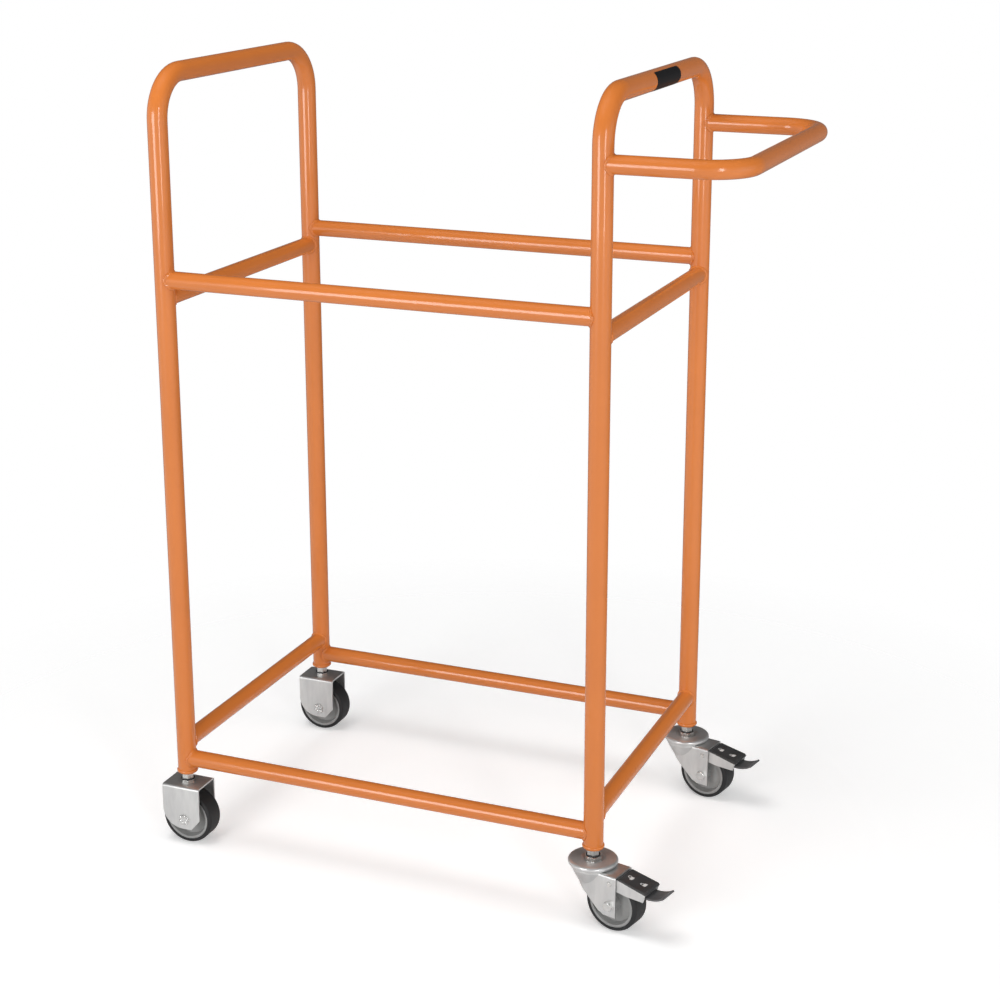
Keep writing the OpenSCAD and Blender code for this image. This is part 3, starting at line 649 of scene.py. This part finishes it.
# %% [markdown]
# Both pedal covers carry two small white marks that show which way to press: an open padlock by the fork
# and a closed one at the pedal's end. Any padlock would do, so these are plain shapes of our own.
# The body is a circle pushed out into a rounded box: a power below 1 moves its points towards the sides.

# %% The body of a padlock mark
LOCK_WIDTH = 7.8 * MM
LOCK_HEIGHT = 5.4 * MM
LOCK_SQUARENESS = 0.42


def push_out(value, half):
    """Moves a circle's coordinate, from -1 to 1, towards the side of a box of that half size."""
    return math.copysign(abs(value) ** LOCK_SQUARENESS, value) * half


def make_lock_body():
    bpy.ops.mesh.primitive_circle_add(vertices=40, radius=1.0, fill_type="TRIFAN")
    body = bpy.context.object
    for point in body.data.vertices:
        point.co.x = push_out(point.co.x, LOCK_WIDTH / 2)
        point.co.y = push_out(point.co.y, LOCK_HEIGHT / 2)
    return body


print("a padlock's body is", round(LOCK_WIDTH, 4), "by", round(LOCK_HEIGHT, 4))

# %% [markdown]
# The shackle is half a flat ring whose cut ends are drawn out to the body. The ring is a circle's edge that
# is extruded and drawn in, and a bisect clears its lower half. The cut edges are then the ones that lie on
# the cut line, and they are extruded towards the body. An open padlock has its shackle moved aside.
# The whole mark is cut finer in the end, so that it can follow the bend of the cover.

# %% The shackle and the whole mark
SHACKLE_INNER = 1.6 * MM
SHACKLE_OUTER = 2.6 * MM
SHACKLE_LEG = 1.9 * MM
SHACKLE_UP = 4.6 * MM
SHACKLE_ASIDE = 2.4 * MM
ON_CUT_LINE = 1e-6


def make_shackle():
    bpy.ops.mesh.primitive_circle_add(vertices=36, radius=SHACKLE_OUTER)
    shackle = pick(bpy.context.object)
    bpy.ops.object.mode_set(mode="EDIT")
    bpy.ops.mesh.select_mode(type="EDGE")
    bpy.ops.mesh.select_all(action="SELECT")
    bpy.ops.mesh.extrude_edges_move()
    bpy.ops.transform.resize(value=(SHACKLE_INNER / SHACKLE_OUTER, SHACKLE_INNER / SHACKLE_OUTER, 1))
    bpy.ops.mesh.select_all(action="SELECT")
    bpy.ops.mesh.bisect(plane_co=(0, 0, 0), plane_no=(0, 1, 0), clear_inner=True)
    bpy.ops.mesh.select_all(action="DESELECT")
    bpy.ops.object.mode_set(mode="OBJECT")
    points = shackle.data.vertices
    for edge in shackle.data.edges:
        edge.select = all(abs(points[number].co.y) < ON_CUT_LINE for number in edge.vertices)
    bpy.ops.object.mode_set(mode="EDIT")
    bpy.ops.mesh.extrude_edges_move(TRANSFORM_OT_translate={"value": (0, -SHACKLE_LEG, 0)})
    bpy.ops.object.mode_set(mode="OBJECT")
    return shackle


def make_padlock(is_open):
    body = make_lock_body()
    shackle = make_shackle()
    shackle.location = (SHACKLE_ASIDE if is_open else 0.0, SHACKLE_UP, 0)
    settle(shackle)
    mark = join_as("padlock", [body, shackle])
    bpy.ops.object.mode_set(mode="EDIT")
    bpy.ops.mesh.select_all(action="SELECT")
    bpy.ops.mesh.subdivide(number_cuts=2)
    bpy.ops.object.mode_set(mode="OBJECT")
    return mark


print("a shackle stands", round(SHACKLE_UP, 4), "from the body's middle")

# %% [markdown]
# A swivel caster can stand at any angle, so the middle of its swivel and the angle that it is turned by
# come from the record's joints. Each mark is turned to face someone who stands behind the pedal, set above
# the cover and dropped on to it by a Shrinkwrap modifier that looks straight down. A Solidify modifier
# then gives it the thickness of a coat of paint.

# %% Padlock marks on the pedal covers
OPEN_MARK_OUT = 63.0 * MM
CLOSED_MARK_OUT = 83.8 * MM
DROP_HEIGHT = 0.1
MARK_GAP = 0.04 * MM
PAINT_THICK = 0.08 * MM
joint_rows = {row["name"]: row for row in frame["record"]["behaviour"]["joints"]}


def caster_place(caster):
    spin_axis = joint_rows[caster + "_wheel_spin"]["axis"]
    swivel_middle = Vector(joint_rows[caster + "_swivel_turn"]["pos_m"])
    return swivel_middle, -math.atan2(spin_axis[0], spin_axis[1])


def drop_on(piece, cover):
    drop = piece.modifiers.new("Drop", "SHRINKWRAP")
    drop.wrap_method = "PROJECT"
    drop.use_project_z = True
    drop.use_positive_direction = False
    drop.use_negative_direction = True
    drop.target = cover
    drop.offset = MARK_GAP
    coat = piece.modifiers.new("Coat", "SOLIDIFY")
    coat.thickness = PAINT_THICK
    coat.offset = 0
    apply_modifiers(piece)


for caster in SWIVEL_CASTERS:
    middle, turn = caster_place(caster)
    marks = []
    for is_open, out in ((True, OPEN_MARK_OUT), (False, CLOSED_MARK_OUT)):
        mark = make_padlock(is_open)
        mark.rotation_euler = (0, 0, turn + math.pi / 2)
        mark.location = (middle.x + out * math.cos(turn), middle.y + out * math.sin(turn), DROP_HEIGHT)
        marks.append(settle(mark))
    pair = join_as(caster + "_pedal_marks", marks)
    drop_on(pair, nodes[caster + "_pedal_cover"])
    add_piece(pair, caster + "_brake", mark_paint)

# %% [markdown]
# A plain black label is wrapped round the top bar of the right hoop. It is a thin film, so it starts as
# a grid that is rolled round the tube: each column keeps its place along the bar and each row becomes
# an angle. Its corners are rounded by pulling the rows in near the ends, and a thin Solidify lifts it off
# the paint.

# %% Plain label on the right hoop
LABEL_START, LABEL_END = -0.046, 0.056
LABEL_LOW, LABEL_HIGH = math.radians(-72), math.radians(58)
LABEL_CORNER = 3.0 * MM
LABEL_GAP = 0.05 * MM
LABEL_THICK = 0.18 * MM
SMOOTH_BELOW = math.radians(40)
rim = HOOP_RADIUS + LABEL_GAP
bar_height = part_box("right_end_hoop")[1][2] - HOOP_RADIUS
half_long = (LABEL_END - LABEL_START) / 2
half_turn = (LABEL_HIGH - LABEL_LOW) / 2
middle_turn = (LABEL_LOW + LABEL_HIGH) / 2


def corner_pull(inset):
    """How far a row is drawn in at this distance from the label's nearer end."""
    if inset >= LABEL_CORNER:
        return 0.0
    return LABEL_CORNER - math.sqrt(max(LABEL_CORNER ** 2 - (LABEL_CORNER - inset) ** 2, 0))


bpy.ops.mesh.primitive_grid_add(x_subdivisions=40, y_subdivisions=24, size=2)
label = bpy.context.object
label.name = "Plain_label"
for point in label.data.vertices:
    along = half_long + half_long * point.co.x
    pull = corner_pull(min(along, 2 * half_long - along))
    angle = middle_turn + point.co.y * (half_turn - pull / HOOP_RADIUS)
    across, up = rim * math.cos(angle), rim * math.sin(angle)
    point.co = Vector((RIGHT_X + across, LABEL_START + along, bar_height + up))
film = label.modifiers.new("Film", "SOLIDIFY")
film.thickness = LABEL_THICK
film.offset = 1
apply_modifiers(label)
bpy.ops.object.mode_set(mode="EDIT")
bpy.ops.mesh.select_all(action="SELECT")
bpy.ops.mesh.normals_make_consistent(inside=False)
bpy.ops.object.mode_set(mode="OBJECT")
bpy.ops.object.shade_smooth_by_angle(angle=SMOOTH_BELOW)
add_piece(label, "frame", label_film)

# %% [markdown]
# The photograph was taken from in front and to the right, a little above the top of the trolley.
# The camera's place, turn and lens come from the measured edges of the tubes. The uprights in the
# photograph are parallel, which takes a level camera and a large shift. The other views need a camera that
# looks at the trolley, so this one looks down a little, and a small shift takes up part of the difference.

# %% Camera
CAMERA_PLACE = (1.0622, -2.589, 1.418)
VIEW_TURN = 22.04
VIEW_TILT = -16.19
VIEW_SHIFT = -0.06
SENSOR_WIDTH = 36
LENS_IN_SENSOR_WIDTHS = 2.0143
bpy.ops.object.camera_add(
    location=CAMERA_PLACE, rotation=(math.radians(90 + VIEW_TILT), 0, math.radians(VIEW_TURN)))
camera = bpy.context.object
camera.data.sensor_width = SENSOR_WIDTH
camera.data.lens = SENSOR_WIDTH * LENS_IN_SENSOR_WIDTHS
camera.data.shift_y = VIEW_SHIFT
bpy.context.scene.camera = camera
print("camera at", CAMERA_PLACE, "with a lens of", round(camera.data.lens, 1), "millimetres")

# %% [markdown]
# A studio for a product picture. The floor is a pale disc that keeps the trolley's soft shadow and fades
# out into a white world. It glows faintly, to the camera alone, so that it comes out near white without
# throwing light on the trolley. It lies half a millimetre low, clear of the tyres.

# %% Floor
FLOOR_RADIUS = 3.2
FLOOR_DROP = 0.5 * MM
FADE_STARTS = 0.40
FADE_ENDS = 1.20
FLOOR_GLOW = 0.32
bpy.ops.mesh.primitive_circle_add(
    vertices=96, radius=FLOOR_RADIUS, fill_type="TRIFAN", location=(0, 0, -FLOOR_DROP))
floor = bpy.context.object
floor.name = "Studio_floor"
floor_paint = bpy.data.materials.new("Pale floor")
floor_paint.use_nodes = True
tree = floor_paint.node_tree
shader = tree.nodes["Principled BSDF"]
shader.inputs["Base Color"].default_value = (0.92, 0.92, 0.92, 1)
shader.inputs["Roughness"].default_value = 0.8
shader.inputs["Specular IOR Level"].default_value = 0.2
reach = tree.nodes.new("ShaderNodeVectorMath")
reach.operation = "LENGTH"
tree.links.new(tree.nodes.new("ShaderNodeTexCoord").outputs["Object"], reach.inputs[0])
fade = add_range(tree, reach.outputs["Value"], FADE_STARTS, FADE_ENDS, to_low=1.0, to_high=0.0)
tree.links.new(fade, shader.inputs["Alpha"])
seen_directly = tree.nodes.new("ShaderNodeLightPath").outputs["Is Camera Ray"]
shader.inputs["Emission Color"].default_value = (1, 1, 1, 1)
tree.links.new(add_math(tree, "MULTIPLY", seen_directly, FLOOR_GLOW), shader.inputs["Emission Strength"])
floor.data.materials.append(floor_paint)
print("floor fades out from", FADE_STARTS, "to", FADE_ENDS)

# %% [markdown]
# The camera always sees the world white. Reflections see a room that is darker overhead and on its far
# side, like a studio behind and above the object, so that steel and paint keep their depth. The far side
# is dimmed more for reflections than for the light that it sheds. What lights the object is kept below
# strength 1, so that a colour renders about as it was written.

# %% World
CEILING_LIGHT = 0.25
FAR_SIDE_DIMMING = 0.5
FAR_SIDE_DIMMING_REFLECTED = 0.80
ROOM_STRENGTH = 0.70
world = bpy.data.worlds.new("Studio world")
bpy.context.scene.world = world
world.use_nodes = True
tree = world.node_tree
background = tree.nodes["Background"]
sky = tree.nodes.new("ShaderNodeSeparateXYZ")
tree.links.new(tree.nodes.new("ShaderNodeTexCoord").outputs["Generated"], sky.inputs["Vector"])
rays = tree.nodes.new("ShaderNodeLightPath")
overhead = add_range(tree, sky.outputs["Z"], low=-0.05, high=0.45, to_low=1.0, to_high=CEILING_LIGHT)
far_side = add_range(tree, sky.outputs["Y"], low=-0.1, high=0.6)
dimming = add_range(
    tree, rays.outputs["Is Glossy Ray"], to_low=FAR_SIDE_DIMMING, to_high=FAR_SIDE_DIMMING_REFLECTED)
darkness = add_math(tree, "MULTIPLY", far_side, dimming)
room = add_math(tree, "MULTIPLY", overhead, add_math(tree, "SUBTRACT", 1.0, darkness))
tree.links.new(add_math(tree, "MAXIMUM", room, rays.outputs["Is Camera Ray"]), background.inputs["Color"])
seen = add_math(tree, "MAXIMUM", rays.outputs["Is Camera Ray"], rays.outputs["Is Glossy Ray"])
seen = add_math(tree, "MAXIMUM", seen, rays.outputs["Is Transmission Ray"])
tree.links.new(add_range(tree, seen, to_low=ROOM_STRENGTH), background.inputs["Strength"])
print("world lights the trolley at strength", ROOM_STRENGTH)

# %% [markdown]
# Two tall soft boxes stand in front: a broad one to the left and a narrow one to the right. Their
# reflections are the streaks of light that the photograph shows along the legs and rails. A wide lamp above
# and one at the handle's side fill the shadows. Reflections leave both out, because they would wash out
# the bars that run away from the camera.

# %% Lamps
def add_lamp(name, place, aim, width, height, power):
    bpy.ops.object.light_add(type="AREA", location=place)
    lamp = bpy.context.object
    lamp.name = name
    lamp.data.shape = "RECTANGLE"
    lamp.data.size = width
    lamp.data.size_y = height
    lamp.data.energy = power
    lamp.rotation_mode = "QUATERNION"
    lamp.rotation_quaternion = (Vector(place) - Vector(aim)).to_track_quat("Z", "Y")
    print("lamp", name, "power", power)
    return lamp


add_lamp("Front_soft_box", place=(-1.10, -3.1, 1.05), aim=(0, 0, 0.7), width=1.2, height=1.4, power=38)
add_lamp("Right_soft_box", place=(2.3, -2.6, 1.3), aim=(0.1, 0, 0.8), width=0.45, height=1.9, power=29)
top_lamp = add_lamp("Top_lamp", place=(-0.6, -0.6, 3.4), aim=(0, 0, 0.4), width=2.0, height=2.0, power=56)
side_lamp = add_lamp("Side_lamp", place=(3.2, 0.2, 1.0), aim=(0, 0, 0.8), width=2.0, height=2.0, power=40)
for fill_lamp in (top_lamp, side_lamp):
    fill_lamp.visible_glossy = False
bpy.context.scene.view_settings.view_transform = "Standard"
